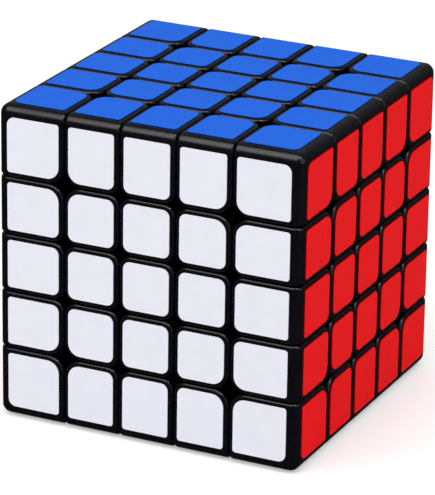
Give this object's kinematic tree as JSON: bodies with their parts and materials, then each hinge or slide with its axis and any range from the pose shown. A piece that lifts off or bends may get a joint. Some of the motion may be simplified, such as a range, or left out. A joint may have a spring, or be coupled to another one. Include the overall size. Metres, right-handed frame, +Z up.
{
  "type": "twisty puzzle cube",
  "caption": "Black stickered twisty puzzle cube in stacked layers that each turn freely about the middle, on a spring-loaded core with hooked inner feet.",
  "frame": {"origin": "middle of the cube's bottom face, on the plane of the bottom stickers it rests on", "axes": "+Z up along the axis the layers turn about, -Y towards the white side, +X towards the red side"},
  "size_m": [0.062, 0.062, 0.062],
  "materials": {
    "shell_plastic": "satin black moulded ABS, lightly polished",
    "foot_plastic": "black moulded ABS, smooth sliding faces",
    "core_plastic": "dark grey moulded nylon",
    "screw_steel": "zinc plated steel",
    "spring_steel": "drawn spring wire",
    "washer_brass": "stamped brass",
    "white_vinyl": "satin vinyl sticker",
    "red_vinyl": "satin vinyl sticker",
    "yellow_vinyl": "satin vinyl sticker",
    "orange_vinyl": "satin vinyl sticker",
    "blue_vinyl": "satin vinyl sticker",
    "green_vinyl": "satin vinyl sticker"
  },
  "bodies": {
    "core_and_middle_slice": {"core": "core_plastic", "tension_screws": "screw_steel", "tension_springs": "spring_steel", "spring_washers": "washer_brass", "middle_edge_shells": "shell_plastic", "middle_t_centre_shells": "shell_plastic", "side_centre_caps": "shell_plastic", "middle_slice_feet": "foot_plastic", "side_centre_stems": "foot_plastic", "middle_slice_white_stickers": "white_vinyl", "middle_slice_red_stickers": "red_vinyl", "middle_slice_yellow_stickers": "yellow_vinyl", "middle_slice_orange_stickers": "orange_vinyl"},
    "top_layer": {"top_corner_shells": "shell_plastic", "top_wing_shells": "shell_plastic", "top_midedge_shells": "shell_plastic", "top_x_centre_shells": "shell_plastic", "top_t_centre_shells": "shell_plastic", "top_centre_cap": "shell_plastic", "top_corner_feet": "foot_plastic", "top_edge_feet": "foot_plastic", "top_centre_feet": "foot_plastic", "top_centre_stem": "foot_plastic", "top_face_blue_stickers": "blue_vinyl", "top_layer_white_stickers": "white_vinyl", "top_layer_red_stickers": "red_vinyl", "top_layer_yellow_stickers": "yellow_vinyl", "top_layer_orange_stickers": "orange_vinyl"},
    "upper_slice": {"upper_wing_shells": "shell_plastic", "upper_x_centre_shells": "shell_plastic", "upper_t_centre_shells": "shell_plastic", "upper_slice_feet": "foot_plastic", "upper_slice_white_stickers": "white_vinyl", "upper_slice_red_stickers": "red_vinyl", "upper_slice_yellow_stickers": "yellow_vinyl", "upper_slice_orange_stickers": "orange_vinyl"},
    "lower_slice": {"lower_wing_shells": "shell_plastic", "lower_x_centre_shells": "shell_plastic", "lower_t_centre_shells": "shell_plastic", "lower_slice_feet": "foot_plastic", "lower_slice_white_stickers": "white_vinyl", "lower_slice_red_stickers": "red_vinyl", "lower_slice_yellow_stickers": "yellow_vinyl", "lower_slice_orange_stickers": "orange_vinyl"},
    "bottom_layer": {"bottom_corner_shells": "shell_plastic", "bottom_wing_shells": "shell_plastic", "bottom_midedge_shells": "shell_plastic", "bottom_x_centre_shells": "shell_plastic", "bottom_t_centre_shells": "shell_plastic", "bottom_centre_cap": "shell_plastic", "bottom_corner_feet": "foot_plastic", "bottom_edge_feet": "foot_plastic", "bottom_centre_feet": "foot_plastic", "bottom_centre_stem": "foot_plastic", "bottom_face_green_stickers": "green_vinyl", "bottom_layer_white_stickers": "white_vinyl", "bottom_layer_red_stickers": "red_vinyl", "bottom_layer_yellow_stickers": "yellow_vinyl", "bottom_layer_orange_stickers": "orange_vinyl"}
  },
  "joints": [
    {"name": "top_layer_turn", "type": "hinge", "parent": "core_and_middle_slice", "child": "top_layer", "pos_m": [0, 0, 0.031], "axis": [0, 0, 1], "continuous": true},
    {"name": "upper_slice_turn", "type": "hinge", "parent": "core_and_middle_slice", "child": "upper_slice", "pos_m": [0, 0, 0.031], "axis": [0, 0, 1], "continuous": true},
    {"name": "lower_slice_turn", "type": "hinge", "parent": "core_and_middle_slice", "child": "lower_slice", "pos_m": [0, 0, 0.031], "axis": [0, 0, 1], "continuous": true},
    {"name": "bottom_layer_turn", "type": "hinge", "parent": "core_and_middle_slice", "child": "bottom_layer", "pos_m": [0, 0, 0.031], "axis": [0, 0, 1], "continuous": true}
  ]
}
